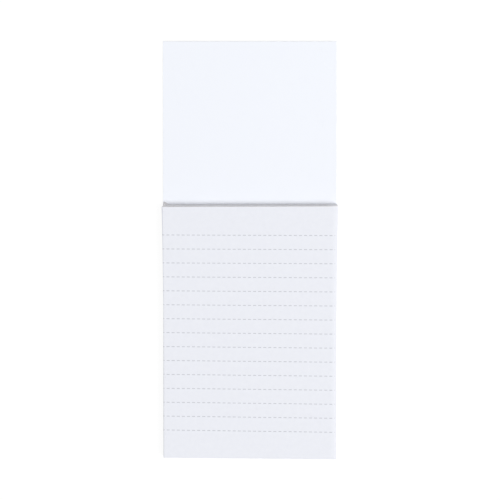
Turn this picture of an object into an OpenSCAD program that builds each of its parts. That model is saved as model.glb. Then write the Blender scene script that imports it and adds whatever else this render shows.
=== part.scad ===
// Magnetic notepad. A stiff coated card carries everything: its upper part is a bare header, a glued pad
// of sheets is taped to its lower part, and two flexible magnet strips hold it to steel by its back.
// It lies on its back: X runs across, +Y towards the header's top edge, +Z up out of the pages.
// The origin is at the middle of the whole outline, in the plane of the magnets' faces.

/* [Card] */
// Width of the coated card
card_w = 75; // [50:1:110]
// Length of the coated card, header and pad together
card_l = 183; // [150:1:260]
// Thickness of the coated card
card_t = 0.45; // [0.3:0.05:1]
// Length of the bare header above the pad
header_l = 71.5; // [45:0.5:90]

/* [Sheets] */
// Number of sheets in the pad
sheets = 50; // [20:5:100]
// Thickness of one sheet as it lies in the pad
sheet_t = 0.1; // [0.08:0.01:0.16]
// How far each long side of the pad lies inside the card's edge
pad_inset = 0.1; // [0:0.1:5]

/* [Trimmed edges] */
// How far the glue-swollen head stands out past the trimmed width, on each side
head_flare = 0.7; // [0.05:0.05:2]
// Distance from the head over which that flare dies out
flare_l = 65; // [10:1:75]
// How far the knife turned the top sheet's loose edges down
edge_drop = 0.2; // [0.05:0.05:0.8]
// How far in from the edge that turn-down starts
edge_roll = 1; // [0.5:0.1:8]

/* [Back of the pad] */
// Thickness of the greyboard behind the sheets
board_t = 0.6; // [0.3:0.05:1.5]
// Thickness of the padding glue brushed over the head
glue_t = 0.25; // [0.1:0.05:0.6]
// Thickness left where the glue feathers out at the head's two corners
glue_feather_t = 0.1; // [0.05:0.01:0.1]
// Thickness of the double-sided tape between board and card
tape_t = 0.15; // [0.1:0.05:0.5]
// Width of a strip of that tape
tape_w = 12; // [6:1:25]
// How far the tape stays inside the board's edges
tape_inset = 4; // [1:0.5:10]

/* [Magnets] */
// Thickness of a magnet strip
magnet_t = 0.8; // [0.5:0.1:2]
// Width of a magnet strip, along the card's length
magnet_w = 20; // [10:1:35]
// How far a magnet strip stays inside the card's long sides
magnet_side_inset = 5; // [2:0.5:15]
// How far a magnet strip stays inside the card's top or foot edge
magnet_end_inset = 10; // [3:0.5:30]

/* [Hidden] */

// Where the pad and the card begin and end along Y
top_y = card_l / 2;
foot_y = -card_l / 2;
head_y = top_y - header_l;
sheet_head_y = head_y - glue_t;
block_l = sheet_head_y - foot_y;

// The heights at which the layers sit on each other
card_z = magnet_t;
tape_z = card_z + card_t;
board_z = tape_z + tape_t;
block_z = board_z + board_t;
block_t = sheets * sheet_t;
block_top = block_z + block_t;

// The widths, and the number of chords in a long curved edge and in a turned-down one
board_w = card_w - 2 * pad_inset;
head_half_w = board_w / 2 + head_flare;
chords = 8;
roll_chords = 5;
// How far the glue's profile reaches past its outline, so that only the outline cuts it
past = 1;

// Half the block's width at distance d from its head: the flare dies out as a parabola
function half_w(d) = board_w / 2 + head_flare * pow(max(0, 1 - d / flare_l), 2);

// How far the top lies below the block's full height at distance s in from a loose edge: a parabola too
function turned_down(s) = edge_drop * pow(max(0, 1 - s / edge_roll), 2);

// A box by its middle in X, and its lowest Y and Z
module slab(w, l, t, y, z) translate([-w / 2, y, z]) cube([w, l, t]);

// Cross-section of the sheets at distance d from their head, as [x, z] points. Both long edges of the top are
// turned down, and near the loose foot the whole top comes down by the same curve.
function section(d) = let (
    w = half_w(d),
    top = block_top - turned_down(block_l - d),
    roll = [for (i = [0:roll_chords]) let (s = edge_roll * i / roll_chords) [w - s, top - turned_down(s)]],
    right = concat([[w, block_z]], roll),
    left = [for (i = [len(right) - 1:-1:0]) [-right[i][0], right[i][1]]]
) concat(right, left);

// Distances from the head at which the sections stand: close together where an edge curves
stations = concat([for (i = [0:chords]) flare_l * i / chords],
                  [for (i = [roll_chords:-1:0]) block_l - edge_roll * i / roll_chords]);

// A solid skinned over those sections, from the head to the foot
module loft() {
    n = len(section(0));
    last = (len(stations) - 1) * n;
    points = [for (d = stations, p = section(d)) [p[0], sheet_head_y - d, p[1]]];
    skin = [for (i = [0:n:last - n], j = [0:n - 1]) let (k = (j + 1) % n)
        [i + j, i + k, i + n + k, i + n + j]];
    polyhedron(points, concat([[for (j = [n - 1:-1:0]) j]], skin, [[for (j = [0:n - 1]) last + j]]));
}

// The card: its top part is the bare header, and the pad covers the rest
module header_card() color([0.955, 0.97, 1])
    slab(card_w, card_l, card_t, foot_y, card_z);

// One magnet strip, with its lower edge at y
module magnet_strip(y) color([0.2, 0.17, 0.15])
    slab(card_w - 2 * magnet_side_inset, magnet_w, magnet_t, y, 0);

module magnet_strip_top() magnet_strip(top_y - magnet_end_inset - magnet_w);
module magnet_strip_foot() magnet_strip(foot_y + magnet_end_inset);

// One strip of double-sided tape, with its lower edge at y
module tape_strip(y) color([0.9, 0.88, 0.8])
    slab(board_w - 2 * tape_inset, tape_w, tape_t, y, tape_z);

module tape_strip_head() tape_strip(sheet_head_y - tape_inset - tape_w);
module tape_strip_foot() tape_strip(foot_y + tape_inset);

// The greyboard that the sheets were glued up with
module pad_board() color([0.62, 0.58, 0.52])
    slab(board_w, sheet_head_y - foot_y, board_t, foot_y, board_z);

// All the sheets as one block
module page_block() color([0.925, 0.933, 0.957])
    loft();

// Outline of the glue film from above: full in the middle, feathering out to the head's corners
module film_outline() {
    thin = glue_t - glue_feather_t;
    face = [for (i = [-chords:chords]) let (u = i / chords) [u * head_half_w, head_y - thin * pow(u, 4)]];
    polygon(concat([[head_half_w, sheet_head_y], [-head_half_w, sheet_head_y]], face));
}

// Outline of the pad's head as the brush meets it: the end of the board, and the first section of the sheets
module head_outline() {
    translate([-board_w / 2, board_z]) square([board_w, board_t]);
    polygon(section(0));
}

// The padding glue: a film brushed over the head of the board and the sheets
module padding_glue() color([0.86, 0.87, 0.88])
    intersection() {
        translate([0, 0, board_z]) linear_extrude(board_t + block_t) film_outline();
        translate([0, head_y + past, 0]) rotate([90, 0, 0]) linear_extrude(glue_t + 2 * past) head_outline();
    }

header_card();
magnet_strip_top();
magnet_strip_foot();
tape_strip_head();
tape_strip_foot();
pad_board();
page_block();
padding_glue();
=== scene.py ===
# %% [markdown]
# # A magnetic notepad
# A stiff, glossy white card carries a pad of dash-ruled sheets and leaves its upper part bare as a header.
# Magnet strips on the back hold it to a steel door. Here it lies on its back on a pale table.
# The measured model comes first: it fixes the size and the place of every layer, and all that follows is
# fitted to it. Lengths are in metres, X runs across the card, +Y towards the header, +Z out of the pages.

# %% Load the measured model
import math

import bpy
import numpy as np
from mathutils import Matrix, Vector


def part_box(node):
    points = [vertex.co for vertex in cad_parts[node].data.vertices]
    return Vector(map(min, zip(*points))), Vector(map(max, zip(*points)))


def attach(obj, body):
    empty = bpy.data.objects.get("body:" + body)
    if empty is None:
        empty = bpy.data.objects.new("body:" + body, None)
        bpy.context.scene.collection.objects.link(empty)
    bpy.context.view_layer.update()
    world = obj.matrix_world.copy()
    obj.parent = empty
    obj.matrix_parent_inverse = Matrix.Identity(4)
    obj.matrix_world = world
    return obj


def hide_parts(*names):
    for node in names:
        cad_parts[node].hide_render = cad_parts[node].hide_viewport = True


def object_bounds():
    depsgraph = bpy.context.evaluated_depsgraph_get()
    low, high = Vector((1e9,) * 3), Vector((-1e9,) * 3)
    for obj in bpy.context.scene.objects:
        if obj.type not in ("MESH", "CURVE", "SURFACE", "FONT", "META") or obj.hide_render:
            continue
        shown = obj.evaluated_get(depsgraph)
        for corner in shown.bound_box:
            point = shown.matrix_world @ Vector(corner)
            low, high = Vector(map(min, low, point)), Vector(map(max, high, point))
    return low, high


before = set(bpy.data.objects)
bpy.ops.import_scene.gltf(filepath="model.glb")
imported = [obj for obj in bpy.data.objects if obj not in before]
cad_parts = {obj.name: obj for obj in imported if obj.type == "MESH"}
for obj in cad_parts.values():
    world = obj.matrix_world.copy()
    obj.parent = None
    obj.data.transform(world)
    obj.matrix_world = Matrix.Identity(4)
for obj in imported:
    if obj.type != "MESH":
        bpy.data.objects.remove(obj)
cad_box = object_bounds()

MM = 0.001
print("layers:", sorted(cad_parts))
print("overall mm:", [round((high - low) / MM, 2) for low, high in zip(*cad_box)])

# %% [markdown]
# ## Putting things in the scene
# In Blender a mesh, a camera or a lamp is data, and an object shows it in the scene. A camera and a lamp
# also have to be aimed. One matrix does it: its columns are their three axes and their place. Aiming by
# angles would work too, but the order of three turns is easy to get wrong.

# %% Objects and their aim
def shown(name, data):
    """A new object in the scene that shows the data."""
    thing = bpy.data.objects.new(name, data)
    bpy.context.scene.collection.objects.link(thing)
    return thing


def aim(thing, place, side, up, back):
    """Puts a camera or a lamp at a place, facing the opposite way to back, with side to its right."""
    columns = np.eye(4)
    columns[:3, :3] = np.stack([side, up, back], axis=1)
    columns[:3, 3] = place
    thing.matrix_world = Matrix(columns.tolist())


print("object tools ready")

# %% [markdown]
# ## The camera
# The notepad is thin, so a view from straight above would hide the edge of the pad. The camera leans a
# little towards the header, far away behind a long lens, which keeps the long sides of the card parallel.
# A wide lens close by would show the same edge, but would also make the near end look bigger.

# %% Camera
CAMERA_DISTANCE = 5.0
FIELD_WIDTH = 216.3 * MM
LEAN_TO_HEADER = math.radians(11.5)
AIM_ABOVE_MIDDLE = 0.1 * MM
AIM_RIGHT_OF_MIDDLE = 0.08 * MM

middle = np.array((cad_box[0] + cad_box[1]) / 2)
toward = np.array([0, math.sin(LEAN_TO_HEADER), math.cos(LEAN_TO_HEADER)])
upward = np.array([0, math.cos(LEAN_TO_HEADER), -math.sin(LEAN_TO_HEADER)])
sideways = np.cross(upward, toward)
target = middle + AIM_RIGHT_OF_MIDDLE * sideways + AIM_ABOVE_MIDDLE * upward

camera_data = bpy.data.cameras.new("camera")
camera_data.lens = camera_data.sensor_width * CAMERA_DISTANCE / FIELD_WIDTH
camera_data.clip_end = 10 * CAMERA_DISTANCE
camera = shown("camera", camera_data)
aim(camera, target + CAMERA_DISTANCE * toward, sideways, upward, toward)
bpy.context.scene.camera = camera
print("lens mm:", round(camera_data.lens, 1))

# %% [markdown]
# ## Small tools for materials
# Every finish here is a tree of nodes, so nothing is painted by hand and nothing is read from a file. Two
# tools start one: a new material with its shader, and a new node with its inputs filled.

# %% Finishes and nodes
def new_finish(name):
    """A material with one Principled shader. Returns the material, its node tree and the shader."""
    material = bpy.data.materials.new(name)
    material.use_nodes = True
    return material, material.node_tree, material.node_tree.nodes["Principled BSDF"]


def add(tree, kind, links=None, **values):
    """A new node: values set its own properties, links fill its inputs with a socket or a number."""
    node = tree.nodes.new("ShaderNode" + kind)
    for key, value in values.items():
        setattr(node, key, value)
    for key, source in (links or {}).items():
        if isinstance(source, bpy.types.NodeSocket):
            tree.links.new(source, node.inputs[key])
        else:
            node.inputs[key].default_value = source
    return node


print("finish tools ready")

# %% [markdown]
# ## Patterns at their real size
# Patterns are placed by the object's own coordinates, turned into millimetres, so that a grain of 0.2 mm is
# written as such. A pattern tied to the camera would slide over the paper when the view turns.

# %% Patterns
def millimetres(tree, stretch=(1, 1, 1)):
    """The object's own coordinates in millimetres, with each axis multiplied by its stretch."""
    place = add(tree, "TexCoord")
    scale = [s / MM for s in stretch]
    return add(tree, "Mapping", {"Vector": place.outputs["Object"], "Scale": scale}).outputs["Vector"]


def grain(tree, per_mm, detail=4.0, roughness=0.6, stretch=(1, 1, 1)):
    """Noise from 0 to 1 with about per_mm bumps in each millimetre."""
    place = millimetres(tree, stretch)
    links = {"Vector": place, "Scale": per_mm, "Detail": detail, "Roughness": roughness}
    return add(tree, "TexNoise", links).outputs["Fac"]


def relief(tree, shader, height, depth, strength):
    """Height from 0 to 1 as bumps depth metres deep."""
    bump = add(tree, "Bump", {"Height": height, "Distance": depth, "Strength": strength})
    tree.links.new(bump.outputs["Normal"], shader.inputs["Normal"])


print("pattern tools ready")

# %% [markdown]
# ## Sorting and blending
# A board's face, its cut edge and its back look different. The surface's own normal tells them apart, and
# one number from 0 to 1 blends their colours. Separate materials would meet in a hard line instead.

# %% Blends
def remap(tree, value, low, high, to_low=0.0, to_high=1.0):
    """value moved from the range low..high to to_low..to_high, and held inside it."""
    links = {"Value": value, "From Min": low, "From Max": high, "To Min": to_low, "To Max": to_high}
    return add(tree, "MapRange", links).outputs["Result"]


def blend_colours(tree, factor, first, second):
    """first where factor is 0, second where it is 1. Either is a colour or a socket."""
    node = add(tree, "Mix", data_type="RGBA")
    tree.links.new(factor, node.inputs[0])
    for socket, colour in ((node.inputs[6], first), (node.inputs[7], second)):
        if isinstance(colour, bpy.types.NodeSocket):
            tree.links.new(colour, socket)
        else:
            socket.default_value = (*colour, 1.0)
    return node.outputs[2]


def facing(tree, up_from, up_to):
    """0 where the normal's upward part is up_from or less, 1 where it is up_to or more. That part is 1 on a
    level face, 0 on a cut edge and -1 on a back."""
    normal = add(tree, "TexCoord").outputs["Normal"]
    height = add(tree, "SeparateXYZ", {"Vector": normal}).outputs["Z"]
    return remap(tree, height, up_from, up_to)


print("blend tools ready")

# %% [markdown]
# ## Uncoated writing paper
# The sheets are ordinary uncoated stock: matt, faintly blue from its brightener, and cloudy when looked at
# closely, because the fibres settle unevenly. A flat colour would look like plastic, so the colour drifts by
# a hair over two millimetres, and fine fibres lift the surface by a few hundredths.

# %% Sheet paper
PAPER_WHITE = (0.866, 0.881, 0.937)
PAPER_CLOUD = (0.841, 0.856, 0.914)
CUT_PAPER = (0.80, 0.805, 0.83)


def sheet_paper():
    """Matt paper: clouded colour, fine fibres, and a slightly duller cut edge."""
    finish, tree, shader = new_finish("sheet_paper")
    cloud = remap(tree, grain(tree, per_mm=0.45, detail=5.0, roughness=0.7), 0.3, 0.7)
    face = blend_colours(tree, cloud, PAPER_CLOUD, PAPER_WHITE)
    edge_tone = grain(tree, per_mm=1.2, detail=3.0, stretch=(0.3, 0.3, 9.0))
    edge = blend_colours(tree, remap(tree, edge_tone, 0.3, 0.7), CUT_PAPER, PAPER_CLOUD)
    colour = blend_colours(tree, facing(tree, 0.5, 0.8), edge, face)
    tree.links.new(colour, shader.inputs["Base Color"])
    shader.inputs["Roughness"].default_value = 0.9
    shader.inputs["Specular IOR Level"].default_value = 0.25
    fibre = grain(tree, per_mm=7.0, detail=6.0, roughness=0.75, stretch=(1.0, 0.45, 1.0))
    relief(tree, shader, fibre, depth=0.03 * MM, strength=0.7)
    return finish


paper = sheet_paper()
print("made", paper.name)

# %% [markdown]
# ## Coated card
# The card is board with a smooth, glossy, blue-white coating on its front. The coating is not a mirror: it
# has a very fine orange peel. The die cut shows the fibrous core at the edges, and the back is uncoated.
# One finish does all three, sorted by which way the surface faces.

# %% Coated card
COATING = (0.892, 0.918, 0.978)
CARD_CORE = (0.92, 0.922, 0.925)
CARD_BACK = (0.80, 0.795, 0.775)
CARD_FLECK = (0.70, 0.69, 0.665)
RAW_ROUGHNESS = 0.9
COATED_ROUGHNESS = 0.3


def coated_card():
    """Glossy coating on the face, white fibrous core at the edges, dull flecked board behind."""
    finish, tree, shader = new_finish("coated_card")
    fibre = grain(tree, per_mm=3.0, detail=6.0, roughness=0.75, stretch=(1.0, 0.4, 3.0))
    fleck = remap(tree, fibre, 0.35, 0.7)
    back = blend_colours(tree, fleck, CARD_BACK, CARD_FLECK)
    core = blend_colours(tree, fleck, CARD_CORE, CARD_BACK)
    raw = blend_colours(tree, facing(tree, -0.9, -0.5), back, core)
    front = facing(tree, 0.5, 0.9)
    tree.links.new(blend_colours(tree, front, raw, COATING), shader.inputs["Base Color"])
    roughness = remap(tree, front, 0.0, 1.0, RAW_ROUGHNESS, COATED_ROUGHNESS)
    tree.links.new(roughness, shader.inputs["Roughness"])
    peel = grain(tree, per_mm=1.6, detail=2.0, roughness=0.4)
    relief(tree, shader, peel, depth=0.004 * MM, strength=0.5)
    return finish


card = coated_card()
print("made", card.name)

# %% [markdown]
# ## The dull stocks
# Printing ink on paper is dull and slightly uneven. Greyboard is pulped waste paper with dark specks, the
# tape has a pale paper core, and the magnet strips are rubber filled with iron oxide powder, nearly black.
# Each is one stock in two tones, so one function makes all four.

# %% Ink, greyboard, tape and magnet rubber
INK_GREY = (0.51, 0.522, 0.567)
INK_THIN = (0.58, 0.592, 0.637)
BOARD_GREY = (0.36, 0.32, 0.27)
BOARD_SPECK = (0.20, 0.175, 0.15)
TAPE_PALE = (0.78, 0.75, 0.66)
TAPE_EDGE = (0.62, 0.57, 0.45)
MAGNET_DARK = (0.030, 0.025, 0.022)
MAGNET_DUST = (0.060, 0.050, 0.044)


def speckled(name, first, second, per_mm, roughness, depth):
    """A dull stock whose colour wanders between two tones at one grain size, with that grain raised."""
    finish, tree, shader = new_finish(name)
    spots = grain(tree, per_mm, detail=5.0, roughness=0.7)
    colour = blend_colours(tree, remap(tree, spots, 0.35, 0.65), first, second)
    tree.links.new(colour, shader.inputs["Base Color"])
    shader.inputs["Roughness"].default_value = roughness
    relief(tree, shader, spots, depth, strength=0.7)
    return finish


ink = speckled("ruling_ink", INK_GREY, INK_THIN, per_mm=6.0, roughness=0.8, depth=0.004 * MM)
greyboard = speckled("greyboard", BOARD_SPECK, BOARD_GREY, per_mm=3.5, roughness=0.95, depth=0.03 * MM)
tape = speckled("tape", TAPE_EDGE, TAPE_PALE, per_mm=2.0, roughness=0.6, depth=0.01 * MM)
rubber = speckled("magnet_rubber", MAGNET_DARK, MAGNET_DUST, per_mm=4.0, roughness=0.75, depth=0.015 * MM)
print("made", [stock.name for stock in (ink, greyboard, tape, rubber)])

# %% [markdown]
# ## The glue's finish
# Padding glue dries to a milky rubbery skin, thick in some places and thin in others, with the sheets' ends
# just visible through it. Light scattered inside a clear skin would do this by itself, but it would take
# very many rays to look smooth, so here the milkiness is mixed from colours. Those colours are greyer than
# the glue itself and carry painted shade for the head, which faces away from the lamp, and the film pales at
# both ends as painted light, where light reaches round them.

# %% Glue film
# Both film tones are greyer than the glue itself: painted shade for the head, which faces away from the lamp
GLUE_MILK_WITH_PAINTED_SHADE = (0.69, 0.675, 0.685)
GLUE_CLEAR_WITH_PAINTED_SHADE = (0.585, 0.572, 0.58)
GLUE_LIP = (0.86, 0.86, 0.885)
# Millimetres along the head at which the lip's painted shade starts to clear to the pale tone, and at which
# it has cleared
LIP_PAINTED_SHADE_CLEARS = (-25.0, 15.0)
# Millimetres along the head at which an end's painted light starts, and at which it is strongest, and how far
# it pales the film
LEFT_END_PAINTED_LIGHT = (-36.2, -38.2, 0.9)
RIGHT_END_PAINTED_LIGHT = (32.5, 38.0, 0.95)


def glue_film_and_painted_light():
    """Milky rubber: thick and thin patches and the sheets' ends showing through as fine lines, in greyer
    tones that carry painted shade for the head. A lip where the film turns over the pad's upper edge keeps
    that painted shade on the left and clears to a pale tone towards the right, and painted light pales the
    film close to both ends."""
    finish, tree, shader = new_finish("padding_glue")
    patches = grain(tree, per_mm=0.45, roughness=0.55)
    film_with_painted_shade = blend_colours(tree, remap(tree, patches, 0.35, 0.65), GLUE_CLEAR_WITH_PAINTED_SHADE, GLUE_MILK_WITH_PAINTED_SHADE)
    ends = grain(tree, per_mm=1.0, detail=3.0, stretch=(0.06, 1.0, 8.0))
    film_with_painted_shade = blend_colours(tree, remap(tree, ends, 0.35, 0.65, 0.0, 0.3), film_with_painted_shade, GLUE_LIP)
    along = add(tree, "SeparateXYZ", {"Vector": millimetres(tree)}).outputs["X"]
    # Painted light: the film pales towards both ends, where light reaches round the shaded head
    for start, end, most in (LEFT_END_PAINTED_LIGHT, RIGHT_END_PAINTED_LIGHT):
        film_with_painted_shade = blend_colours(tree, remap(tree, along, start, end, 0.0, most), film_with_painted_shade, GLUE_LIP)
    # Painted shade: the lip keeps the grey film tone on the left and clears to the pale tone towards the
    # right
    lip_with_painted_shade = blend_colours(tree, remap(tree, along, *LIP_PAINTED_SHADE_CLEARS), film_with_painted_shade, GLUE_LIP)
    # Faces of the head take the film with its painted shade, and upward faces take the lip
    colour = blend_colours(tree, facing(tree, 0.5, 0.8), film_with_painted_shade, lip_with_painted_shade)
    tree.links.new(colour, shader.inputs["Base Color"])
    shader.inputs["Roughness"].default_value = 0.35
    relief(tree, shader, patches, depth=0.06 * MM, strength=0.7)
    return finish


glue = glue_film_and_painted_light()
print("made", glue.name)

# %% [markdown]
# ## Thin solids from two grids
# Everything here is a thin layer: a front surface, a back surface and a narrow rim that joins them. So one
# tool makes them all. It takes the two surfaces as arrays of points and stitches the rim. Extruding a flat
# outline would also give a layer, but not one whose thickness and height change from place to place.

# %% Stitching a layer
SHARP_EDGE = math.radians(35)


def enclosed(points, faces):
    """Six times the volume inside the faces: positive when they point outwards. A sum of triple products."""
    a, b, c, d = (points[faces[:, i]] for i in range(4))
    return float((a * np.cross(b, c)).sum() + (a * np.cross(c, d)).sum())


def layers(name, front, back):
    """Closed layers between two arrays of points, each (layers, rows, columns, 3), as one mesh object.
    Each grid cell gives a quad in front and its reverse behind, and each step along the border a rim quad.
    An edge that turns by more than SHARP_EDGE stays crisp, and the rest is shaded smooth."""
    count, rows, columns = front.shape[:3]
    points = np.stack([front, back], axis=1).reshape(-1, 3)
    grid = np.arange(rows * columns).reshape(rows, columns)
    cell = np.stack([grid[:-1, :-1], grid[:-1, 1:], grid[1:, 1:], grid[1:, :-1]], axis=-1).reshape(-1, 4)
    border = np.concatenate([grid[0, :-1], grid[:-1, -1], grid[-1, :0:-1], grid[:0:-1, 0]])
    ahead = np.roll(border, -1)
    under = rows * columns
    rim = np.stack([border, border + under, ahead + under, ahead], axis=-1)
    one = np.concatenate([cell, cell[:, ::-1] + under, rim])
    faces = (one[None] + (np.arange(count) * 2 * under)[:, None, None]).reshape(-1, 4)
    if enclosed(points, faces) < 0:
        faces = faces[:, ::-1]
    mesh = bpy.data.meshes.new(name)
    mesh.from_pydata(points.tolist(), [], faces.tolist())
    mesh.polygons.foreach_set("use_smooth", np.ones(len(faces), bool))
    mesh.set_sharp_from_angle(angle=SHARP_EDGE)
    print(name, "layers", count, "triangles", 2 * len(faces))
    return shown(name, mesh)


print("layer tool ready")

# %% [markdown]
# ## Finishing a layer
# Each layer is given its finish, joins the notepad's one body, and takes the place of the plain layer that
# it stands for, if there is one. Its grid is close at the edges, where a surface bends, and wide in the
# middle, because an evenly fine grid would need many more points for the same look.

# %% Finishes on layers, and places on a grid
def finished(piece, finish, slot, *nodes):
    """Gives a piece its finish and its body, and hides the plain layers that it stands for."""
    piece.data.materials.append(finish)
    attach(piece, "root")
    if nodes:
        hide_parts(*nodes)


def stations(start, end, steps, near):
    """Places from start to end: evenly spaced in the middle, and at the distances near inside each end."""
    inner = np.linspace(start + near[-1], end - near[-1], steps)
    return np.concatenate([start + near[:-1], inner, (end - near[:-1])[::-1]])


print("places from 0 to 10:", stations(0, 10, 3, np.array([0, 0.5, 2.0])))

# %% [markdown]
# ## Cut plates: the card, the greyboard and the strips
# Dies and knives never leave a perfectly sharp edge: the top arris is pressed slightly round and catches a
# thin line of light. Each plate takes its place from the measured layer, and its face falls away near the
# rim along a quarter circle. A bevel modifier would do it too, but here the curve is one line of arithmetic.

# %% Curves of a plate
def arris(inside, radius):
    """How far a face lies below its level at a distance inside the rim: a quarter circle of that radius."""
    reach = np.clip(1 - inside / radius, 0, 1)
    return radius * (1 - np.sqrt(1 - reach**2))


def undulation(x, y, waves):
    """From 0 to 1: half of one plus the product of two slow waves, one across and one along. waves gives the
    length of a radian and the start of each."""
    (across_length, across_start), (along_length, along_start) = waves
    return 0.5 + 0.5 * np.sin(x / across_length + across_start) * np.cos(y / along_length + along_start)


print("arris of 0.1 mm, halfway in:", round(arris(0.05, 0.1), 4), "mm down")

# %% Plates with softened edges
PLATE_GRID = (24, 40)
# Distances inside the rim, in radii of the arris
NEAR_RIM = np.array([0, 0.08, 0.3, 0.6, 1.0, 3.0])
SAG_WAVES = ((9 * MM, 0.7), (13 * MM, -0.4))
SAG_GROWS = 4 * MM


def plate(name, node, radius, finish, slot, sag=0.0):
    """A flat plate in the place of a measured layer. Its front and back bend in at the rim by an arris, and
    sag lets the front wander by that much, growing from nothing at the rim."""
    low, high = (np.array(corner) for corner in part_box(node))
    x, y = np.meshgrid(*(stations(low[i], high[i], PLATE_GRID[i], radius * NEAR_RIM) for i in (0, 1)))
    inside = np.minimum(np.minimum(x - low[0], high[0] - x), np.minimum(y - low[1], high[1] - y))
    wander = sag * undulation(x, y, SAG_WAVES) * np.clip(inside / SAG_GROWS, 0, 1)
    front = high[2] - arris(inside, radius) - wander
    back = low[2] + arris(inside, radius)
    surfaces = (np.stack([x, y, z], axis=-1)[None] for z in (front, back))
    finished(layers(name, *surfaces), finish, slot, node)


plate("coated_card_with_header", "header_card", 0.04 * MM, card, "coated_card", sag=0.006 * MM)
plate("greyboard_back", "pad_board", 0.10 * MM, greyboard, "greyboard")
for end in ("top", "foot"):
    plate("magnet_" + end, "magnet_strip_" + end, 0.12 * MM, rubber, "magnet_rubber")
for end in ("head", "foot"):
    plate("tape_" + end, "tape_strip_" + end, 0.03 * MM, tape, "tape")

# %% [markdown]
# ## The stack's outline
# A pad is glued along its head and cut on the other three sides. The glue swells the head, so the stack is
# a little wider there, and most of all at the top, because the board holds the lower sheets in. The knife's
# last cut is a hair out of square. A plain box would miss all of that, so the width is a formula.

# %% Width and foot of the stack
FLARE_LENGTH = 65 * MM
HELD_LEFT = 1.0
HELD_RIGHT = 0.25
FOOT_SLANT = math.radians(0.52)

block_low, block_high = (np.array(corner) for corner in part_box("page_block"))
foot_y, head_y = block_low[1], block_high[1]
trimmed_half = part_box("pad_board")[1][0]
flare = block_high[0] - trimmed_half


def loose_at(y):
    """0 at the glued head, growing evenly to 1 at the loose foot."""
    return (head_y - y) / (head_y - foot_y)


def swelling(y):
    """How much of the head's swelling is left at y: 1 at the head, dying out below it as a parabola."""
    return np.clip(1 - (head_y - y) / FLARE_LENGTH, 0, 1) ** 2


def across(u, y, level=1.0):
    """X at a share u of the sheets' width, from -1 at the left edge to 1 at the right one: the trimmed width,
    plus the flare of the swollen head. The board holds the lower sheets in, by a parabola of the level, which
    is a share of the stack's height, and more so on the left."""
    held = (HELD_LEFT * (1 - u) + HELD_RIGHT * (1 + u)) / 2 * (1 - level**2)
    return u * (trimmed_half + flare * (1 - held) * swelling(y))


def foot_at(x):
    """Y of the foot's cut at x: a straight cut, turned a hair about the middle of the foot."""
    return foot_y - x * math.tan(FOOT_SLANT)


print("trimmed width mm:", round(2 * trimmed_half / MM, 2), "flare mm:", round(flare / MM, 2))

# %% [markdown]
# ## The stack's height
# The knife drags the upper edges of the sheets down, one side more than the other, and paper never lies
# quite flat. All the sheets share one height field, and each one fills its own share of it, so they never
# cut through each other, as sheets that were bent one by one might.

# %% Height of the stack
LEFT_DROP, LEFT_ROLL = 0.14 * MM, 0.5 * MM
RIGHT_DROP, RIGHT_ROLL = 0.34 * MM, 2.3 * MM
FOOT_DROP, FOOT_ROLL = 0.2 * MM, 1 * MM
RIPPLE = 0.04 * MM
RIPPLE_WAVES = ((11 * MM, 1.1), (16 * MM, 0.3))

block_thickness = block_high[2] - block_low[2]


def turned_down(inside, drop, roll):
    """How far the knife has drawn the top down at a distance inside an edge: a parabola, drop deep at the
    edge and level at the distance roll."""
    return drop * np.clip(1 - inside / roll, 0, 1) ** 2


def stack_height(x, y):
    """Height of the whole stack at a place: its full thickness, less the drawn edges and a slow ripple. The
    left edge is drawn down twice as deep where the head is swollen."""
    drawn = turned_down(x - across(-1, y), LEFT_DROP * (1 + swelling(y)), LEFT_ROLL)
    drawn += turned_down(across(1, y) - x, RIGHT_DROP, RIGHT_ROLL)
    drawn += turned_down(y - foot_at(x), FOOT_DROP, FOOT_ROLL)
    return block_thickness - drawn - RIPPLE * undulation(x, y, RIPPLE_WAVES)


print("stack mm:", round(block_thickness / MM, 2), "at the origin:", round(stack_height(0, 0) / MM, 3))

# %% [markdown]
# ## The sheets
# Fifty separate sheets show what one block can't: hairline gaps between them, and loose edges that don't
# quite line up. Chance deals each sheet its thickness and its shift, from a fixed seed, so that every run
# makes the same pad. The top sheet is a piece of its own with a finer grid, because it shows its whole face.

# %% Surfaces of the sheets
# Distances inside the cuts, from the sides and from the ends
NEAR_SIDE = np.array([0, 0.1, 0.22, 0.35, 0.5, 0.8, 1.2, 1.7, 2.3, 3.0]) * MM
NEAR_FOOT = np.array([0, 0.08, 0.2, 0.35, 0.52, 0.74, 1.0, 2.0, 3.0]) * MM


def sheet_grid(columns, rows):
    """Places on one sheet: u runs from -1 to 1 across, y from the foot to the head, closer near the cuts."""
    u = stations(-1, 1, columns, NEAR_SIDE / trimmed_half)
    return np.meshgrid(u, stations(foot_y, head_y, rows, NEAR_FOOT))


def sheet_surfaces(levels, shift, columns, rows):
    """Front and back of each sheet. levels are its lower and upper share of the stack's height, and shift
    moves its loose edges sideways and along, dying out towards the glued head as the foot's slant does. The
    height is taken where each point ends up."""
    u, y = (grid[None] for grid in sheet_grid(columns, rows))
    loose = loose_at(y)
    x = across(u, y, levels[:, 1, None, None])
    y = y + loose * (foot_at(x) - foot_y)
    shift = shift[:, :, None, None] * loose
    x, y = x + shift[:, 0], y + shift[:, 1]
    height = stack_height(x, y)
    z = [block_low[2] + levels[:, i, None, None] * height for i in (1, 0)]
    return (np.stack(np.broadcast_arrays(x, y, level), axis=-1) for level in z)


print("sheet tools ready")

# %% Dealing the sheets
SHEETS = 50
SEED = 50
CHANCE_LIMIT = 2
THICKNESS_SPREAD = 0.25
EDGE_JITTER = 0.035 * MM
GAP_SHARE = 0.13
LOWER_GRID = (10, 16)
TOP_GRID = (40, 60)


def chance(dice, shape):
    """Normal random numbers, cut off at CHANCE_LIMIT times their usual spread."""
    return dice.standard_normal(shape).clip(-CHANCE_LIMIT, CHANCE_LIMIT)


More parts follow.
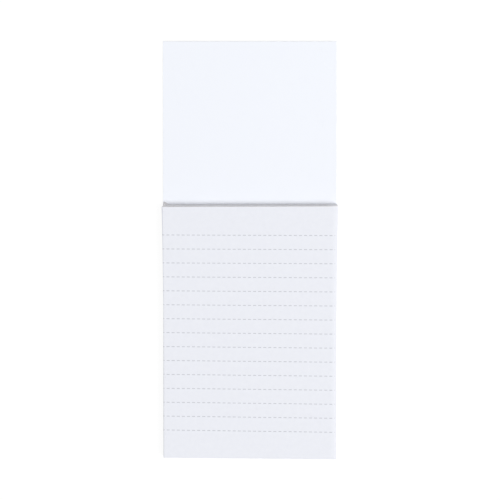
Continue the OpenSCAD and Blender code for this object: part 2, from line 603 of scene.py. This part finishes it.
dice = np.random.default_rng(SEED)
share = np.cumsum(1 + THICKNESS_SPREAD * chance(dice, SHEETS))
share = np.concatenate([[0], share]) / share[-1]
levels = np.stack([share[:-1], share[1:] - GAP_SHARE * np.diff(share)], axis=1)
levels[-1, 1] = 1
shift = EDGE_JITTER * chance(dice, (SHEETS, 2))
shift[-1] = 0
lower = layers("lower_sheets", *sheet_surfaces(levels[:-1], shift[:-1], *LOWER_GRID))
finished(lower, paper, "sheet_paper", "page_block")
top = layers("top_sheet", *sheet_surfaces(levels[-1:], shift[-1:], *TOP_GRID))
finished(top, paper, "sheet_paper", "page_block")

# %% [markdown]
# ## The dashed ruling
# Each sheet is ruled with fifteen rows of short grey dashes, which bleed off the left side and stop just
# short of the right one. The rows fan out by less than a degree, because one side of a sheet creeps as it
# passes the press. The rule is print, so it has almost no height. Drawn in the paper's material it would
# blur when the material is turned into a picture, so every dash is a sliver of ink that follows the sheet.

# %% Dashes
RULED_LINES = 15
HEAD_MARGIN = 12.45 * MM
FOOT_MARGIN = 12.15 * MM
DASH_PITCH = 2.204 * MM
DASH_LENGTH = 1.3 * MM
DASH_OFFSET = -0.16 * MM
DASH_POINTS = 7
SHORTEST_DASH = 0.1 * MM
RULE_STOP = 0.55 * MM
LINE_WIDTH = 0.3 * MM
PRINT_SKEW = math.radians(0.15)
PRINT_FAN = math.radians(0.75)
INK_RISE = 0.015 * MM


def dashes():
    """Front and back of every dash. A dash is centred a pitch from the next, cut off at the sheet's left
    edge or where the rule stops on the right, and each of its points sits on the sheet, raised by the ink.
    The rows' slant grows towards the foot."""
    count = int(trimmed_half / DASH_PITCH) + 1
    centre = DASH_OFFSET + DASH_PITCH * np.arange(-count, count + 1)
    rows = np.linspace(head_y - HEAD_MARGIN, foot_y + FOOT_MARGIN, RULED_LINES)
    centre, row = (grid.ravel()[:, None, None] for grid in np.meshgrid(centre, rows))
    start = np.maximum(centre - DASH_LENGTH / 2, across(-1, row))
    end = np.minimum(centre + DASH_LENGTH / 2, trimmed_half - RULE_STOP)
    x = start + (end - start) * np.linspace(0, 1, DASH_POINTS)
    over = np.array([-0.5, 0.5])[:, None] * LINE_WIDTH
    y = row + over - x * np.tan(PRINT_SKEW + PRINT_FAN * loose_at(row))
    kept = (end - start)[:, 0, 0] > SHORTEST_DASH
    z = block_low[2] + stack_height(x, y)
    return (np.stack(np.broadcast_arrays(x, y, level), axis=-1)[kept] for level in (z + INK_RISE, z))


finished(layers("dashed_ruling", *dashes()), ink, "ruling_ink")

# %% [markdown]
# ## The padding glue
# The glue is brushed over the head while the sheets are clamped, from left to right. It dries as a thin skin
# with faint brush marks, thinner where the stroke began and thicker where it ended, with a small bead at the
# bottom left where the full brush was set down. Here the skin is a surface over the head's width and height,
# and its thickness is the sum of a body, the bead, and a few slow waves that run along the stroke.

# %% Brush marks
# Each wave's weight, its radians in a millimetre upwards and along, and its start
STROKES = ((1.0, 2.1, 0.05, 0.0), (0.6, 4.7, -0.11, 1.0), (0.5, 0.8, 0.9, 0.0))


def brush_marks(x, z):
    """From -1 to 1: strokes one to three millimetres high and centimetres long, with a slower wave over
    them, as the weighted mean of slanted waves."""
    waves = [weight * np.sin((rise * z + run * x) / MM + start) for weight, rise, run, start in STROKES]
    return sum(waves) / sum(stroke[0] for stroke in STROKES)


print("waves in the brush marks:", len(STROKES))

# %% Glue skin
GLUE_GRID = (90, 30)
# Distances inside the two ends, as shares of half the width. Twice these are the distances inside the lower
# and upper rims, as shares of the height.
NEAR_END = np.array([0, 0.004, 0.012, 0.03])
BRUSH_DEPTH = 0.035 * MM
STROKE_START = -0.06 * MM
STROKE_END = 0.09 * MM
BEAD = 1.15 * MM
BEAD_PLACE = -36.8 * MM
BEAD_SIZE = 1.1 * MM
SKIN_ARRIS = 0.1 * MM
THINNEST_SKIN = 0.02 * MM


def glue_skin():
    """Front and back of the skin, as points over the head: u from -1 to 1 across, v from 0 to 1 upwards. It
    is as wide as the board at the board's height and as wide as the sheets above it."""
    low, high = (np.array(corner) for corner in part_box("padding_glue"))
    columns = stations(-1, 1, GLUE_GRID[0], NEAR_END)
    u, v = np.meshgrid(columns, stations(0, 1, GLUE_GRID[1], 2 * NEAR_END))
    top = block_low[2] + stack_height(across(u, head_y), np.full_like(u, head_y))
    z = low[2] + v * (top - low[2])
    level = np.clip((z - block_low[2]) / block_thickness, 0, 1)
    on_board = z < block_low[2]
    left, x, right = (np.where(on_board, k * trimmed_half, across(k, head_y, level)) for k in (-1, u, 1))
    rim = np.minimum(np.minimum(x - left, right - x), np.minimum(v, 1 - v) * (high[2] - low[2]))
    body = (high[1] - low[1]) + np.where(u < 0, STROKE_START * u**4, STROKE_END * u**3)
    bead = BEAD * np.exp(-((x - BEAD_PLACE) / BEAD_SIZE) ** 2 - ((z - low[2]) / BEAD_SIZE) ** 2)
    brushed = BRUSH_DEPTH * (0.5 + 0.5 * brush_marks(x, z))
    thick = np.maximum(body + bead - arris(rim, SKIN_ARRIS) - brushed, THINNEST_SKIN)
    return (np.stack([x, low[1] + t, z], axis=-1)[None] for t in (thick, 0 * thick))


finished(layers("glued_head", *glue_skin()), glue, "padding_glue", "padding_glue")

# %% [markdown]
# ## What the eye sees, and what lights the notepad
# The table and the sky should look white without throwing more light on the notepad. So rays from the eye,
# also when reflected or refracted, are told from rays that carry light, and meet a brighter table and sky.
# Stronger lamps would whiten the table as well, but they would bleach the paper.

# %% Seen rays
def seen_rays(tree):
    """1 for rays from the camera, a reflection or a refraction, 0 for those that carry light."""
    path = add(tree, "LightPath")
    total = path.outputs["Is Camera Ray"]
    for kind in ("Is Glossy Ray", "Is Transmission Ray"):
        total = add(tree, "Math", {0: total, 1: path.outputs[kind]}, operation="MAXIMUM").outputs[0]
    return total


print("ray tool ready")

# %% [markdown]
# ## The table
# The table is a plain pale sheet. Seen rays meet a dark tone and a glow that together look white, and the
# shadow on it stays soft and pale. Below the card there is no glow, so the narrow gap between card and table
# is as dark as it should be.

# %% Table
TABLE_SIZE = 12.0
TABLE_TONE = (0.9, 0.9, 0.9)
SEEN_TONE = (0.095, 0.095, 0.095)
TABLE_GLOW = 0.94
GAP_FADE = 1.0 * MM


def open_table(tree):
    """0 below the card, 1 outside its outline, rising over a narrow band just inside the card's edges. It is
    the larger of the two rises, along x and along y."""
    place = add(tree, "SeparateXYZ", {"Vector": add(tree, "TexCoord").outputs["Object"]})
    rises = []
    for axis, reach in zip("XY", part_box("header_card")[1]):
        distance = add(tree, "Math", {0: place.outputs[axis]}, operation="ABSOLUTE").outputs[0]
        rises.append(remap(tree, distance, reach - GAP_FADE, reach))
    return add(tree, "Math", {0: rises[0], 1: rises[1]}, operation="MAXIMUM").outputs[0]


def table_finish():
    """Matt white laminate. Seen rays meet a darker sheet with a glow, so that the shadows on it stay pale."""
    finish, tree, shader = new_finish("pale_table")
    lit_up = add(tree, "Math", {0: seen_rays(tree), 1: open_table(tree)}, operation="MULTIPLY").outputs[0]
    tree.links.new(blend_colours(tree, lit_up, TABLE_TONE, SEEN_TONE), shader.inputs["Base Color"])
    tree.links.new(remap(tree, lit_up, 0, 1, 0, TABLE_GLOW), shader.inputs["Emission Strength"])
    shader.inputs["Emission Color"].default_value = (1, 1, 1, 1)
    shader.inputs["Roughness"].default_value = 1.0
    shader.inputs["Specular IOR Level"].default_value = 0.0
    return finish


corners = np.array([(-1, -1, 0), (1, -1, 0), (1, 1, 0), (-1, 1, 0)]) * TABLE_SIZE / 2
table_mesh = bpy.data.meshes.new("table")
table_mesh.from_pydata(corners.tolist(), [], [(0, 1, 2, 3)])
table_mesh.materials.append(table_finish())
table = shown("table", table_mesh)
print("table", TABLE_SIZE, "m wide")

# %% [markdown]
# ## The light
# An even sky and a broad lamp high on the right leave the glued head in half shade. Each is set by how
# bright it makes a level white sheet, where 1 is full white. For the sky that is its strength. For a lamp it
# is the power, times the cosine of its slant, over the square of pi times the distance, so the power is
# worked back from it.

# %% Sky
SKY_LIGHT = 0.4
SKY_SEEN = 1.0

world = bpy.data.worlds.new("sky")
world.use_nodes = True
bpy.context.scene.world = world
sky_tree = world.node_tree
sky = sky_tree.nodes["Background"]
sky.inputs["Color"].default_value = (1, 1, 1, 1)
sky_strength = remap(sky_tree, seen_rays(sky_tree), 0, 1, SKY_LIGHT, SKY_SEEN)
sky_tree.links.new(sky_strength, sky.inputs["Strength"])
print("sky lights with", SKY_LIGHT, "and is seen as", SKY_SEEN)

# %% Lamp
LAMP_LIGHT = 0.63
LAMP_DISTANCE = 4.0
LAMP_SIZE = 2.2
LAMP_FROM = np.array([0.42, -0.02, 0.90])

direction = LAMP_FROM / np.linalg.norm(LAMP_FROM)
side = np.cross([0, 1, 0], direction)
side /= np.linalg.norm(side)
lamp_data = bpy.data.lights.new("broad_lamp", "AREA")
lamp_data.shape = "DISK"
lamp_data.size = LAMP_SIZE
lamp_data.energy = LAMP_LIGHT * (math.pi * LAMP_DISTANCE) ** 2 / direction[2]
lamp = shown("broad_lamp", lamp_data)
aim(lamp, middle + direction * LAMP_DISTANCE, side, np.cross(direction, side), direction)
print("lamp watts:", round(lamp_data.energy, 2))

# %% [markdown]
# ## Colours as written
# Blender's usual view softens bright colours, as film does. The standard view shows each colour about as it
# is written above, which a nearly white object needs.

# %% View
bpy.context.scene.view_settings.view_transform = "Standard"
print("view:", bpy.context.scene.view_settings.view_transform)
